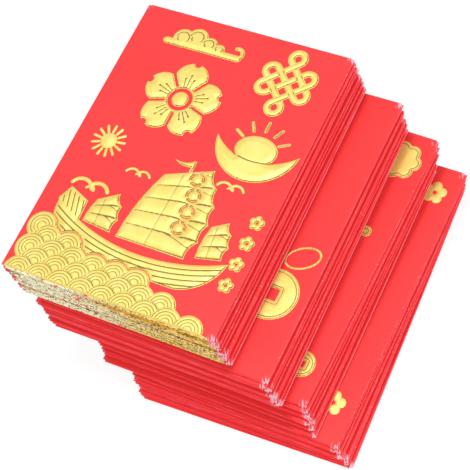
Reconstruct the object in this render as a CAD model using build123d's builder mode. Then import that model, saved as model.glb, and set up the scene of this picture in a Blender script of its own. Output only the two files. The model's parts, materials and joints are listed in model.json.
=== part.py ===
from build123d import *
from dataclasses import dataclass
import math
import os

os.makedirs("parts", exist_ok=True)

# A pile of four bundles of red gift envelopes, in millimetres.
# +X runs along an envelope's width, +Y towards the edge with the closure flap, +Z up.
# The origin is at the bottom, in the middle of the pile's outline.

# Envelope
envelope_width = 80.0
wide_envelope_width = 88.0
third_width = 82.0
envelope_height = 110.0
third_height = 107.0
paper_thickness = 0.2
pocket_gap = 0.3
seam_lap = 9.0
closure_flap_depth = 24.0
bottom_flap_depth = 15.0
flap_taper = 7.0
flap_corner_radius = 3.0
corner_inset = 1.1

# Crease that the closure flap turns on
crease_clearance = 0.05
swing_clearance = 0.15

# Foil printed on the fronts
foil_thickness = 0.08
foil_clearance = 0.12
foil_line = 0.7
foil_gap = 0.25

# Envelopes slip a little over each other in a bundle
slip_length = 0.4
slip_yaw = 0.3
slip_turn = 137.5

# Layers of one envelope, counted up from its back
right_back_bottom = paper_thickness
left_back_bottom = right_back_bottom + paper_thickness
pocket_bottom = left_back_bottom + paper_thickness
front_bottom = pocket_bottom + pocket_gap
envelope_thickness = front_bottom + paper_thickness
left_fold_radius = (envelope_thickness - left_back_bottom) / 2
right_fold_radius = (envelope_thickness - right_back_bottom) / 2
end_fold_radius = envelope_thickness / 2
crease_radius = end_fold_radius - paper_thickness - crease_clearance
stack_pitch = envelope_thickness + foil_thickness + foil_clearance


# Bundles, from the top of the pile down. Places are shares of an envelope's width and height,
# counted from the middle of the top envelope. A fan is how far the lowest envelope of a bundle
# lies from its top one.
@dataclass
class Bundle:
    name: str
    count: int
    width: float
    height: float
    x_share: float
    y_share: float
    yaw: float
    fan_x_share: float
    fan_y_share: float
    fan_yaw: float


bundles = [
    Bundle("bundle_1", 14, envelope_width, envelope_height, 0.0, 0.0, 0.0, 0.026, -0.004, 0.0),
    Bundle("bundle_2", 13, wide_envelope_width, envelope_height, 0.145, -0.016, -0.4, 0.014, -0.010, 0.8),
    Bundle("bundle_3", 10, third_width, third_height, 0.314, -0.002, -1.7, -0.007, -0.051, 3.5),
    Bundle("bundle_4", 9, envelope_width, envelope_height, 0.459, -0.044, -1.0, -0.001, -0.025, 4.3),
]


def envelope_pose(order, level):
    """Place and turn of one envelope; level 0 is the top of its bundle."""
    bundle = bundles[order]
    depth = level / (bundle.count - 1)
    slip_angle = math.radians(slip_turn * (level + order))
    slips = 0.0 if level == 0 else slip_length
    x = (bundle.x_share + bundle.fan_x_share * depth) * envelope_width + slips * math.sin(slip_angle)
    y = (bundle.y_share + bundle.fan_y_share * depth) * envelope_height + slips * math.cos(2 * slip_angle)
    turns = 0.0 if level == 0 else slip_yaw
    yaw = bundle.yaw + bundle.fan_yaw * depth + turns * math.cos(slip_angle)
    below = sum(lower.count for lower in bundles[order + 1:])
    z = (below + bundle.count - 1 - level) * stack_pitch
    return x, y, z, yaw


def outline_reach(order, level):
    """Half extents along X and Y of one turned envelope."""
    yaw = math.radians(envelope_pose(order, level)[3])
    half_width = bundles[order].width / 2
    half_height = bundles[order].height / 2
    reach_x = half_width * math.cos(yaw) + half_height * abs(math.sin(yaw))
    reach_y = half_height * math.cos(yaw) + half_width * abs(math.sin(yaw))
    return reach_x, reach_y


def pile_middle():
    """Middle of the whole pile's outline, seen from above."""
    low_x, high_x, low_y, high_y = [], [], [], []
    for order, bundle in enumerate(bundles):
        for level in range(bundle.count):
            x, y, z, yaw = envelope_pose(order, level)
            reach_x, reach_y = outline_reach(order, level)
            low_x.append(x - reach_x)
            high_x.append(x + reach_x)
            low_y.append(y - reach_y)
            high_y.append(y + reach_y)
    return (min(low_x) + max(high_x)) / 2, (min(low_y) + max(high_y)) / 2


middle_x, middle_y = pile_middle()


def envelope_base(order, level):
    """Plane on the back of one envelope, at its middle, with X along its width."""
    x, y, z, yaw = envelope_pose(order, level)
    turn = math.radians(yaw)
    return Plane(
        origin=(x - middle_x, y - middle_y, z),
        x_dir=(math.cos(turn), math.sin(turn), 0),
        z_dir=(0, 0, 1),
    )


def across_plane(base, y):
    """Upright plane across an envelope: sketch X is its width, sketch Y is up, facing its bottom."""
    return Plane(origin=base.from_local_coords((0, y, 0)), x_dir=base.x_dir, z_dir=base.y_dir * -1)


def along_plane(base, x):
    """Upright plane along an envelope: sketch X is its height, sketch Y is up, facing its right."""
    return Plane(origin=base.from_local_coords((x, 0, 0)), x_dir=base.y_dir, z_dir=base.x_dir)


def tube_end(height):
    """How far the pocket reaches from an envelope's middle, up to the rounds of its end folds."""
    return height / 2 - end_fold_radius


def save(piece, name):
    """Label a finished piece and write it."""
    piece.label = name
    export_step(piece, f"parts/{name}.step")


def flap_outline(width, depth, edge_y, side):
    """Trapezoid flap with rounded free corners; side is 1 where it runs towards +Y."""
    root = width / 2 - corner_inset
    tip = root - flap_taper
    tip_y = edge_y + side * depth
    Polygon((-root, edge_y), (-tip, tip_y), (tip, tip_y), (root, edge_y), align=None)
    free_corners = vertices().group_by(Axis.Y)[-1 if side > 0 else 0]
    fillet(free_corners, flap_corner_radius)


# Stacked envelopes: pressed flat, each one folded sheet with its flaps lying on its back
def stacked_envelope(order, level):
    base = envelope_base(order, level)
    width = bundles[order].width
    left = -width / 2
    right = width / 2
    end = tube_end(bundles[order].height)
    fold_length = width - 2 * corner_inset
    with BuildPart() as envelope:
        with BuildSketch(across_plane(base, end)):
            with BuildLine():
                Polyline(
                    (left + left_fold_radius, left_back_bottom),
                    (-seam_lap / 2, left_back_bottom),
                    (-seam_lap / 2, right_back_bottom),
                    (right - right_fold_radius, right_back_bottom),
                )
                ThreePointArc(
                    (right - right_fold_radius, right_back_bottom),
                    (right, right_back_bottom + right_fold_radius),
                    (right - right_fold_radius, envelope_thickness),
                )
                Line(
                    (right - right_fold_radius, envelope_thickness),
                    (left + left_fold_radius, envelope_thickness),
                )
                ThreePointArc(
                    (left + left_fold_radius, envelope_thickness),
                    (left, left_back_bottom + left_fold_radius),
                    (left + left_fold_radius, left_back_bottom),
                )
            make_face()
        extrude(amount=2 * end)
        with BuildSketch(along_plane(base, -fold_length / 2)):
            with Locations((-end, end_fold_radius), (end, end_fold_radius)):
                Circle(end_fold_radius)
        extrude(amount=fold_length)
        with BuildSketch(base):
            flap_outline(width, bottom_flap_depth, -end, 1)
        extrude(amount=paper_thickness)
        with BuildSketch(base):
            flap_outline(width, closure_flap_depth, end, -1)
        extrude(amount=paper_thickness)
    save(envelope.part, f"{bundles[order].name}_envelope_{level + 1:02d}")


# Top envelope: the same sheet, with its panels and folds as separate pieces round an open pocket
top_base = envelope_base(0, 0)
top_left = -envelope_width / 2
top_right = envelope_width / 2
top_end = tube_end(envelope_height)
front_left = top_left + left_fold_radius
front_right = top_right - right_fold_radius
front_top_edge = top_end - swing_clearance
back_top_edge = top_end - crease_radius - swing_clearance
top_fold_length = envelope_width - 2 * corner_inset


def paper_panel(name, low, high, bottom):
    """Flat sheet over the rectangle from low to high, at a height above the envelope's back."""
    with BuildPart() as panel:
        with BuildSketch(top_base.offset(bottom)):
            with Locations(((low[0] + high[0]) / 2, (low[1] + high[1]) / 2)):
                Rectangle(high[0] - low[0], high[1] - low[1])
        extrude(amount=paper_thickness)
    save(panel.part, name)


def paper_fold(name, plane, centre, radius, outward, length):
    """Bent sheet: half a ring on the outward side of its centre, pulled along the fold."""
    with BuildPart() as fold:
        with BuildSketch(plane):
            with Locations(centre):
                Circle(radius)
                Circle(radius - paper_thickness, mode=Mode.SUBTRACT)
            with Locations((centre[0] - outward * radius / 2, centre[1])):
                Rectangle(radius, 2 * radius, mode=Mode.SUBTRACT)
        extrude(amount=length)
    save(fold.part, name)


paper_panel("top_front_panel", (front_left, -top_end), (front_right, front_top_edge), front_bottom)
paper_panel("top_back_left_panel", (front_left, -top_end), (seam_lap / 2, back_top_edge), left_back_bottom)
right_panel_low = (-seam_lap / 2, -top_end)
paper_panel("top_back_right_panel", right_panel_low, (front_right, back_top_edge), right_back_bottom)

side_fold_plane = across_plane(top_base, back_top_edge)
side_fold_length = top_end + back_top_edge
left_fold_centre = (front_left, left_back_bottom + left_fold_radius)
right_fold_centre = (front_right, right_back_bottom + right_fold_radius)
paper_fold("top_left_fold", side_fold_plane, left_fold_centre, left_fold_radius, -1, side_fold_length)
paper_fold("top_right_fold", side_fold_plane, right_fold_centre, right_fold_radius, 1, side_fold_length)

bottom_fold_plane = along_plane(top_base, -top_fold_length / 2)
bottom_fold_centre = (-top_end, end_fold_radius)
paper_fold("top_bottom_fold", bottom_fold_plane, bottom_fold_centre, end_fold_radius, -1, top_fold_length)

with BuildPart() as bottom_flap:
    with BuildSketch(top_base):
        flap_outline(envelope_width, bottom_flap_depth, -top_end, 1)
    extrude(amount=paper_thickness)
save(bottom_flap.part, "top_bottom_flap")

# Closure flap: its rolled crease is the round that the rest of the envelope swings about
with BuildPart() as closure_flap:
    with BuildSketch(top_base):
        flap_outline(envelope_width, closure_flap_depth, top_end, -1)
    extrude(amount=paper_thickness)
    with BuildSketch(along_plane(top_base, -top_fold_length / 2)):
        with Locations((top_end, end_fold_radius)):
            Circle(crease_radius)
        with Locations((top_end - paper_thickness / 2, end_fold_radius / 2)):
            Rectangle(paper_thickness, end_fold_radius)
    extrude(amount=top_fold_length)
save(closure_flap.part, "top_closure_flap")

# Foil on the fronts: places are shares of an envelope's width and height from its middle,
# and sizes are shares of its width
top_face = top_base.offset(envelope_thickness)
middle_share = 0.5


def on_face(x_share, y_share, width=envelope_width, height=envelope_height):
    """Point on an envelope's front, from shares of its width and height."""
    return x_share * width, y_share * height


def between(start, end, share):
    """Point part of the way from one point to another."""
    return start[0] + (end[0] - start[0]) * share, start[1] + (end[1] - start[1]) * share


def aside(start, end, share, rise_share):
    """Point part of the way along a chord, moved to its left by a share of its length."""
    x, y = between(start, end, share)
    return x - (end[1] - start[1]) * rise_share, y + (end[0] - start[0]) * rise_share


def bow(start, end, rise_share):
    """Bent line from start to end, bowed to its left by a share of its length."""
    return Edge.make_three_point_arc(start, aside(start, end, middle_share, rise_share), end)


def blossom(reach, petals=5):
    """Small round-petalled flower with an open heart."""
    petal_share = 0.42
    heart_share = 0.17
    with PolarLocations(reach * (1 - petal_share), petals, start_angle=90):
        Circle(reach * petal_share)
    Circle(reach * heart_share, mode=Mode.SUBTRACT)


def plum_blossom(reach, petals=5):
    """Large flower: nicked petals with slits between them, and a ring cut round its heart."""
    petal_share = 0.41
    nick_share = 0.09
    slit_length_share = 0.4
    slit_place_share = 0.56
    slit_share = 0.065
    ring_share = 0.3
    heart_share = 0.2
    with PolarLocations(reach * (1 - petal_share), petals, start_angle=90):
        Circle(reach * petal_share)
    with PolarLocations(reach, petals, start_angle=90):
        Circle(reach * nick_share, mode=Mode.SUBTRACT)
    with PolarLocations(reach * slit_place_share, petals, start_angle=90 + 180 / petals):
        SlotOverall(reach * slit_length_share, reach * slit_share, mode=Mode.SUBTRACT)
    Circle(reach * ring_share, mode=Mode.SUBTRACT)
    Circle(reach * heart_share)


def cash_coin(radius):
    """Old round coin with a square hole."""
    hole_share = 0.46
    Circle(radius)
    Rectangle(radius * hole_share, radius * hole_share, mode=Mode.SUBTRACT)


def cloud(reach):
    """Cloud: round lobes, falling in size along a tail that ends in a curl."""
    lobe_shares = [(-0.55, 0.0, 0.25), (-0.22, 0.09, 0.26), (0.12, 0.0, 0.2), (0.4, -0.05, 0.14)]
    tail_share = 0.17
    tail_drop_share = 0.15
    curl_share = 0.1
    curl_bow_share = 0.5
    for x_share, y_share, radius_share in lobe_shares:
        with Locations((reach * x_share, reach * y_share)):
            Circle(reach * radius_share)
    with Locations((0, -reach * tail_drop_share)):
        SlotOverall(2 * reach, reach * tail_share)
    curl_root = (reach * (1 - curl_share), -reach * tail_drop_share)
    curl_tip = (reach * (1 - 2 * curl_share), reach * curl_share)
    SlotArc(bow(curl_root, curl_tip, -curl_bow_share), reach * curl_share)


def endless_knot(reach):
    """Cord woven three by three, its ends joined by loops; it stands on one corner."""
    pitch_share = 0.33
    band_share = 0.17
    strands = 3
    pitch = reach * pitch_share
    band = reach * band_share
    half = strands * pitch / 2
    with GridLocations(0, pitch, 1, strands):
        Rectangle(2 * half, band)
    with GridLocations(pitch, 0, strands, 1):
        Rectangle(band, 2 * half)
    loops = [
        (half, pitch / 2, -90, 90),
        (-half, -pitch / 2, 90, 270),
        (pitch / 2, half, 0, 180),
        (-pitch / 2, -half, 180, 360),
        (-half, half, 0, 270),
        (half, -half, 180, 450),
    ]
    for x, y, start, end in loops:
        with Locations((x, y)):
            SlotArc(Edge.make_circle(pitch / 2, start_angle=start, end_angle=end), band)


def gull(span):
    """Gliding gull: two arched wings, a short body and a tail."""
    stroke_share = 0.1
    arch_share = 0.27
    dip_share = 0.06
    body_share = 0.13
    tail_share = 0.07
    body_turn = -40
    tail_turn = 50
    for side in (-1, 1):
        tip = (side * span / 2, -span * dip_share)
        SlotArc(bow((0, 0), tip, side * arch_share), span * stroke_share)
    with Locations(Pos(span * dip_share, -span * dip_share) * Rotation(0, 0, body_turn)):
        Ellipse(span * body_share, span * tail_share)
    with Locations(Pos(-span * dip_share, -span * tail_share) * Rotation(0, 0, tail_turn)):
        Ellipse(span * tail_share, span * tail_share / 2)


# Sea of overlapping wave rings in rows, with the foil carried round the bottom fold
wave_radius_share = 0.066
wave_step_share = 0.1
wave_row_shares = [
    # first wave across, row up, waves in the row
    (-0.42, -0.495, 9),
    (-0.37, -0.455, 7),
    (-0.42, -0.415, 6),
    (-0.37, -0.375, 2),
    (-0.42, -0.338, 1),
]
wave_radius = wave_radius_share * envelope_width


def waves(radius, mode=Mode.ADD):
    """Discs of the sea's waves."""
    for first_share, row_share, count in wave_row_shares:
        places = [on_face(first_share + wave_step_share * n, row_share) for n in range(count)]
        with Locations(*places):
            Circle(radius, mode=mode)


with BuildPart() as sea_foil:
    sea_left = wave_row_shares[0][0] * envelope_width - wave_radius
    sea_right = sea_left + 2 * wave_radius + (wave_row_shares[0][2] - 1) * wave_step_share * envelope_width
    with BuildSketch(top_face):
        waves(wave_radius)
        with Locations((0, -top_end - wave_radius)):
            Rectangle(envelope_width, 2 * wave_radius, mode=Mode.SUBTRACT)
    extrude(amount=foil_thickness)
    with BuildSketch(along_plane(top_base, sea_left)):
        with Locations((-top_end, end_fold_radius)):
            Circle(end_fold_radius + foil_thickness)
            Circle(end_fold_radius, mode=Mode.SUBTRACT)
        with Locations((-top_end + end_fold_radius, end_fold_radius)):
            Rectangle(2 * end_fold_radius, 3 * end_fold_radius, mode=Mode.SUBTRACT)
        with Locations((-top_end - end_fold_radius, 0)):
            Rectangle(2 * end_fold_radius, 2 * end_fold_radius, mode=Mode.SUBTRACT)
    extrude(amount=sea_right - sea_left)
save(sea_foil.part, "foil_sea")


# Junk under sail: each sail spreads from its luff to a leech that is scalloped from batten to batten
@dataclass
class Sail:
    luff_foot_shares: tuple
    luff_head_shares: tuple
    leech_foot_shares: tuple
    leech_head_shares: tuple
    panels: int


sails = [
    Sail((-0.265, -0.28), (-0.25, -0.2), (-0.125, -0.29), (-0.165, -0.16), 3),
    Sail((-0.095, -0.295), (-0.03, -0.055), (0.225, -0.295), (0.17, 0.005), 5),
    Sail((0.265, -0.28), (0.27, -0.17), (0.375, -0.262), (0.335, -0.14), 3),
]
main_sail = sails[1]
luff_bow_share = 0.05
leech_bow_share = 0.13
scallop_share = 0.14
medallion_place_share = 0.68
medallion_radius_share = 0.028
medallion_cuts = 3
medallion_cut_angle = 75
mast_share = 0.014
mast_rise_share = 0.04
pennant_length_share = 0.09
pennant_drop_share = 0.03
pennant_sag_share = 0.12
stern_shares = (-0.41, -0.235)
stem_shares = (0.41, -0.265)
sheer_shares = (0.0, -0.325)
keel_shares = [(-0.27, -0.392), (0.24, -0.392)]
hull_round_share = 0.16
poop_shares = [(-0.415, -0.232), (-0.385, -0.185), (-0.285, -0.215), (-0.28, -0.29), (-0.39, -0.29)]


def batten_ends(sail):
    """Points where the battens meet the luff and the leech, from foot to head."""
    luff_foot = on_face(*sail.luff_foot_shares)
    luff_head = on_face(*sail.luff_head_shares)
    leech_foot = on_face(*sail.leech_foot_shares)
    leech_head = on_face(*sail.leech_head_shares)
    ends = []
    for batten in range(sail.panels + 1):
        up = batten / sail.panels
        swell = 4 * up * (1 - up)
        luff = aside(luff_foot, luff_head, up, luff_bow_share * swell)
        leech = aside(leech_foot, leech_head, up, -leech_bow_share * swell)
        ends.append((luff, leech))
    return ends


medallion_radius = medallion_radius_share * envelope_width
medallion_arc = Edge.make_circle(medallion_radius, start_angle=0, end_angle=medallion_cut_angle)

with BuildPart() as ship_foil:
    for sail in sails:
        ends = batten_ends(sail)
        with BuildSketch(top_face):
            with BuildLine():
                Polyline(*[luff for luff, leech in ends])
                Line(ends[0][0], ends[0][1])
                Line(ends[-1][0], ends[-1][1])
                for lower, upper in zip(ends, ends[1:]):
                    ThreePointArc(lower[1], aside(lower[1], upper[1], middle_share, scallop_share), upper[1])
            make_face()
            if sail is main_sail:
                for lower, upper in zip(ends[1:], ends[2:]):
                    panel_luff = between(lower[0], upper[0], middle_share)
                    panel_leech = between(lower[1], upper[1], middle_share)
                    with Locations(between(panel_luff, panel_leech, medallion_place_share)):
                        with PolarLocations(0, medallion_cuts):
                            SlotArc(medallion_arc, foil_line / 2, mode=Mode.SUBTRACT)
        extrude(amount=foil_thickness)
    head = between(*batten_ends(main_sail)[-1], middle_share)
    truck = (head[0], head[1] + mast_rise_share * envelope_height)
    hoist = (truck[0], truck[1] - pennant_drop_share * envelope_width)
    fly = (truck[0] - pennant_length_share * envelope_width, (truck[1] + hoist[1]) / 2)
    with BuildSketch(top_face):
        with Locations(between(head, truck, middle_share)):
            Rectangle(mast_share * envelope_width, truck[1] - head[1])
        with BuildLine():
            ThreePointArc(truck, aside(truck, fly, middle_share, pennant_sag_share), fly)
            ThreePointArc(fly, aside(fly, hoist, middle_share, -pennant_sag_share), hoist)
            Line(hoist, truck)
        make_face()
    extrude(amount=foil_thickness)
    with BuildSketch(top_face):
        stern = on_face(*stern_shares)
        stem = on_face(*stem_shares)
        sheer = on_face(*sheer_shares)
        keel_aft = on_face(*keel_shares[0])
        keel_fore = on_face(*keel_shares[1])
        with BuildLine():
            ThreePointArc(stern, sheer, stem)
            ThreePointArc(stem, aside(stem, keel_fore, middle_share, hull_round_share), keel_fore)
            Line(keel_fore, keel_aft)
            ThreePointArc(keel_aft, aside(keel_aft, stern, middle_share, hull_round_share), stern)
        make_face()
        Polygon(*[on_face(*shares) for shares in poop_shares], align=None)
        waves(wave_radius + foil_gap, Mode.SUBTRACT)
    extrude(amount=foil_thickness)
save(ship_foil.part, "foil_ship")

# Sun with rays, and three gulls
sun_shares = (-0.34, -0.005)
sun_radius_share = 0.038
sun_reach_share = 0.08
sun_ray_share = 0.012
sun_rays = 13
gull_shares = [
    # across, up, span
    (-0.31, -0.163, 0.17),
    (-0.14, -0.077, 0.11),
    (0.265, -0.03, 0.12),
]

with BuildPart() as sky_foil:
    sun_radius = sun_radius_share * envelope_width
    ray_length = sun_reach_share * envelope_width - sun_radius
    with BuildSketch(top_face):
        with Locations(on_face(*sun_shares)):
            Circle(sun_radius)
            with PolarLocations(sun_radius + ray_length / 2, sun_rays, start_angle=90):
                SlotOverall(ray_length, sun_ray_share * envelope_width)
    extrude(amount=foil_thickness)
    with BuildSketch(top_face):
        for x_share, y_share, span_share in gull_shares:
            with Locations(on_face(x_share, y_share)):
                gull(span_share * envelope_width)
    extrude(amount=foil_thickness)
save(sky_foil.part, "foil_sun_and_birds")

# Ornaments of the upper half: cloud, blossom, knot and shining ingot, and a column of small blossoms
cloud_shares = (-0.16, 0.41)
cloud_reach_share = 0.19
blossom_shares = (-0.135, 0.2)
blossom_reach_share = 0.185
knot_shares = (0.27, 0.355)
knot_reach_share = 0.18
ingot_shares = (0.29, 0.085)
ingot_reach_share = 0.19
ingot_horn_share = 0.3
ingot_belly_share = -0.62
ingot_brim_share = -0.12
ingot_dome_shares = (0.5, 0.36)
ingot_dome_place_share = 0.16
gleam_place_shares = (0.62, 0.3)
gleam_rays = 5
gleam_spread = 120
gleam_width_share = 0.07
column_x_share = 0.44
column_top_share = -0.115
column_step_share = 0.071
column_count = 4
small_reach_share = 0.034

with BuildPart() as ornament_foil:
    with BuildSketch(top_face):
        with Locations(on_face(*cloud_shares)):
            cloud(cloud_reach_share * envelope_width)
    extrude(amount=foil_thickness)
    with BuildSketch(top_face):
        with Locations(on_face(*blossom_shares)):
            plum_blossom(blossom_reach_share * envelope_width)
    extrude(amount=foil_thickness)
    with BuildSketch(top_face):
        with Locations(Pos(*on_face(*knot_shares)) * Rotation(0, 0, -45)):
            endless_knot(knot_reach_share * envelope_width)
    extrude(amount=foil_thickness)
    ingot_reach = ingot_reach_share * envelope_width
    ingot_x, ingot_y = on_face(*ingot_shares)
    left_horn = (ingot_x - ingot_reach, ingot_y + ingot_reach * ingot_horn_share)
    right_horn = (ingot_x + ingot_reach, ingot_y + ingot_reach * ingot_horn_share)
    with BuildSketch(top_face):
        with BuildLine():
            ThreePointArc(left_horn, (ingot_x, ingot_y + ingot_reach * ingot_belly_share), right_horn)
            ThreePointArc(right_horn, (ingot_x, ingot_y + ingot_reach * ingot_brim_share), left_horn)
        make_face()
        with Locations((ingot_x, ingot_y + ingot_reach * ingot_dome_place_share)):
            Ellipse(ingot_reach * ingot_dome_shares[0], ingot_reach * ingot_dome_shares[1])
            gleam_step = gleam_spread / (gleam_rays - 1)
            with PolarLocations(
                ingot_reach * gleam_place_shares[0],
                gleam_rays,
                start_angle=90 - gleam_spread / 2,
                angular_range=gleam_spread + gleam_step,
            ):
                SlotOverall(ingot_reach * gleam_place_shares[1], ingot_reach * gleam_width_share)
    extrude(amount=foil_thickness)
    with BuildSketch(top_face):
        for place in range(column_count):
            with Locations(on_face(column_x_share, column_top_share - place * column_step_share)):
                blossom(small_reach_share * envelope_width)
    extrude(amount=foil_thickness)
save(ornament_foil.part, "foil_ornaments")

# Stacked envelopes, one piece each; the first of the top bundle is the open one above
for order, bundle in enumerate(bundles):
    for level in range(1 if order == 0 else 0, bundle.count):
        stacked_envelope(order, level)

# Foil on the strips of the lower bundles that show past the bundle above: a coin on a looped string
coin_shares = (0.36, -0.226)
coin_radius_share = 0.106
string_shares = (0.315, -0.1)
string_size_shares = (0.03, 0.15)
loop_shares = (0.41, -0.088)
loop_reach_shares = (0.072, 0.046)
loop_tilt = 30

with BuildPart() as second_foil:
    second_face = envelope_base(1, 0).offset(envelope_thickness)
    with BuildSketch(second_face):
        with Locations(on_face(*coin_shares, wide_envelope_width)):
            cash_coin(coin_radius_share * wide_envelope_width)
    extrude(amount=foil_thickness)
    loop_reach_x = loop_reach_shares[0] * wide_envelope_width
    loop_reach_y = loop_reach_shares[1] * wide_envelope_width
    with BuildSketch(second_face):
        with Locations(Pos(*on_face(*loop_shares, wide_envelope_width)) * Rotation(0, 0, loop_tilt)):
            Ellipse(loop_reach_x, loop_reach_y)
            Ellipse(loop_reach_x - foil_line, loop_reach_y - foil_line, mode=Mode.SUBTRACT)
    extrude(amount=foil_thickness)
    with BuildSketch(second_face):
        with Locations(on_face(*string_shares, wide_envelope_width)):
            string_width = string_size_shares[0] * wide_envelope_width
            SlotOverall(string_size_shares[1] * wide_envelope_width, string_width, rotation=90)
    extrude(amount=foil_thickness)
save(second_foil.part, "bundle_2_foil")

third_cloud_shares = (0.38, 0.40)
third_cloud_reach_share = 0.095
third_cloud_lobes = 7
third_lobe_share = 0.4
third_coin_shares = (0.40, -0.365)
third_coin_radius_share = 0.06
third_dot_shares = (0.385, 0.122)
third_dot_radius_share = 0.026

with BuildPart() as third_foil:
    third_face = envelope_base(2, 0).offset(envelope_thickness)
    third_cloud_reach = third_cloud_reach_share * envelope_width
    third_lobe = third_cloud_reach * third_lobe_share
    with BuildSketch(third_face):
        with Locations(on_face(*third_cloud_shares, third_width, third_height)):
            Circle(third_cloud_reach - third_lobe / 2)
            with PolarLocations(third_cloud_reach - third_lobe, third_cloud_lobes):
                Circle(third_lobe)
    extrude(amount=foil_thickness)
    with BuildSketch(third_face):
        with Locations(on_face(*third_coin_shares, third_width, third_height)):
            cash_coin(third_coin_radius_share * envelope_width)
    extrude(amount=foil_thickness)
    with BuildSketch(third_face):
        with Locations(on_face(*third_dot_shares, third_width, third_height)):
            Circle(third_dot_radius_share * envelope_width)
    extrude(amount=foil_thickness)
save(third_foil.part, "bundle_3_foil")

fourth_blossom_shares = [(0.40, 0.41), (0.40, -0.36)]
fourth_blossom_reach_share = 0.055

with BuildPart() as fourth_foil:
    with BuildSketch(envelope_base(3, 0).offset(envelope_thickness)):
        for place_shares in fourth_blossom_shares:
            with Locations(on_face(*place_shares)):
                blossom(fourth_blossom_reach_share * envelope_width)
    extrude(amount=foil_thickness)
save(fourth_foil.part, "bundle_4_foil")

hinge = top_base.from_local_coords((0, top_end, end_fold_radius))
print("closure flap crease at", hinge.X, hinge.Y, hinge.Z)
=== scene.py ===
import json
import math
import random

import bmesh
import bpy
import numpy as np
from mathutils import Matrix, Vector
from mathutils.bvhtree import BVHTree
from mathutils.geometry import delaunay_2d_cdt
from mathutils.kdtree import KDTree


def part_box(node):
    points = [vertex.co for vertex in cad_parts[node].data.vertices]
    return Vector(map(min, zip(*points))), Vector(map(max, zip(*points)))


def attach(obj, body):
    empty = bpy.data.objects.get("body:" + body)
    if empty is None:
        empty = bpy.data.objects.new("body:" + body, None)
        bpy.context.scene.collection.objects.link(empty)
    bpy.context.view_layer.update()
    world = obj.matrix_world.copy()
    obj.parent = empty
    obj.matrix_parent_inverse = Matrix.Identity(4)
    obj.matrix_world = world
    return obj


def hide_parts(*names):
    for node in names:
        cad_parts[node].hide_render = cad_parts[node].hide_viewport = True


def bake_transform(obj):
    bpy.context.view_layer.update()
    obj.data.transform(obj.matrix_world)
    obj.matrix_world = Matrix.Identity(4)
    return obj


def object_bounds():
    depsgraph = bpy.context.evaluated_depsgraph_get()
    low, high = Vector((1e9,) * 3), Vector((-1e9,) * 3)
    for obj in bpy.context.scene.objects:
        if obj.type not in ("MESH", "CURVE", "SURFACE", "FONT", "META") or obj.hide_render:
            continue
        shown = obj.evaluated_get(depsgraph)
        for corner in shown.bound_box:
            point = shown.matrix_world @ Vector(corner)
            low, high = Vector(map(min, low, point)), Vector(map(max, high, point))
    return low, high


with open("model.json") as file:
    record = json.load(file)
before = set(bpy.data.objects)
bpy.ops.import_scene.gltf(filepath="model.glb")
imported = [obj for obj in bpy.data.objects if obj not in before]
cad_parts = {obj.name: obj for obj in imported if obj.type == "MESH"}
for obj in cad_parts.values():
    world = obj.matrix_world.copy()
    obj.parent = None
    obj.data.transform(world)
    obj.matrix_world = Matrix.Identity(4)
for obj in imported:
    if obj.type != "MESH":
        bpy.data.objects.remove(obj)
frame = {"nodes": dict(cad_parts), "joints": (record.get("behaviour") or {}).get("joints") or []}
cad_low, cad_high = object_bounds()

# A pile of red gift envelopes in four fanned bundles, with embossed gold foil on the fronts.
# Paper is worked in metres; the foil's outlines and relief are worked in millimetres on the envelope.
mm = 0.001
weld = 0.001 * mm
slack = 10 * weld

# Folded paper
paper = 0.2 * mm
seam_lap = 9.0 * mm
closure_flap_depth = 24.0 * mm
bottom_flap_depth = 15.0 * mm
flap_taper = 7.0 * mm
flap_corner = 3.0 * mm
flap_corner_steps = 4
corner_inset = 1.1 * mm
fold_steps = 8
panel_columns = 8
panel_rows = 10
smooth_angle = math.radians(40)

# How far the paper of a stacked envelope strays from flat and straight
ripple_height = 0.045 * mm
ripple_height_shares = (0.5, 1.0)
ripple_side = 0.05 * mm
ripple_seed = 8
set_backs = {"bundle_1": 0.2 * mm, "bundle_2": 0.2 * mm, "bundle_3": 1.3 * mm, "bundle_4": 0.12 * mm}
set_back_shares = (0.6, 1.0)
first_set_back = 0.9 * mm
side_stray = 0.06 * mm

# Ripples of the paper's level, sides and ends, in radians for each millimetre across or along it
level_ripple_across = 0.11
level_ripple_along = 0.075
side_ripple_along = 0.06
end_ripple_across = 0.07

# How far the lowest envelope of a bundle has slid aside, behind and round; those above it slid less
slides = {
    "bundle_1": (0.0, 0.0, 0.0),
    "bundle_2": (0.0, 0.0, 0.0),
    "bundle_3": (1.7 * mm, 0.1 * mm, math.radians(-1.4)),
    "bundle_4": (1.2 * mm, 0.2 * mm, math.radians(-1.2)),
}


class Sheet:
    """Where one envelope lies: its middle and turn, its size, and the rounds of its folds."""

    def __init__(self, middle, turn, width, height, back, front):
        self.width = width
        self.height = height
        self.thickness = front - back
        self.left_round, self.right_round, self.end_round = fold_rounds(self.thickness)
        self.end = height / 2 - self.end_round
        self.place = Matrix.Translation((middle.x, middle.y, back)) @ Matrix.Rotation(turn, 4, "Z")


def fold_rounds(thickness):
    """Radii of the left, right and end folds round the layers inside them."""
    return (thickness - 2 * paper) / 2, (thickness - paper) / 2, thickness / 2


def stacked_sheet(node):
    """Read a stacked envelope's place off the corners of its front."""
    points = [v.co for v in frame["nodes"][node].data.vertices]
    front = max(p.z for p in points)
    back = min(p.z for p in points)
    level = [p for p in points if p.z > front - weld]
    low_left = min(level, key=lambda p: p.x + p.y)
    low_right = max(level, key=lambda p: p.x - p.y)
    high_left = min(level, key=lambda p: p.x - p.y)
    across = low_right - low_left
    along = high_left - low_left
    left_round, right_round, end_round = fold_rounds(front - back)
    middle = low_left + (across + along + across.normalized() * (right_round - left_round)) / 2
    aside, behind, turn = stray(node)
    middle = middle + across.normalized() * aside + along.normalized() * behind
    turn = turn + math.atan2(across.y, across.x)
    width = across.length + left_round + right_round
    return Sheet(middle, turn, width, along.length + 2 * end_round, back, front)


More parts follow.
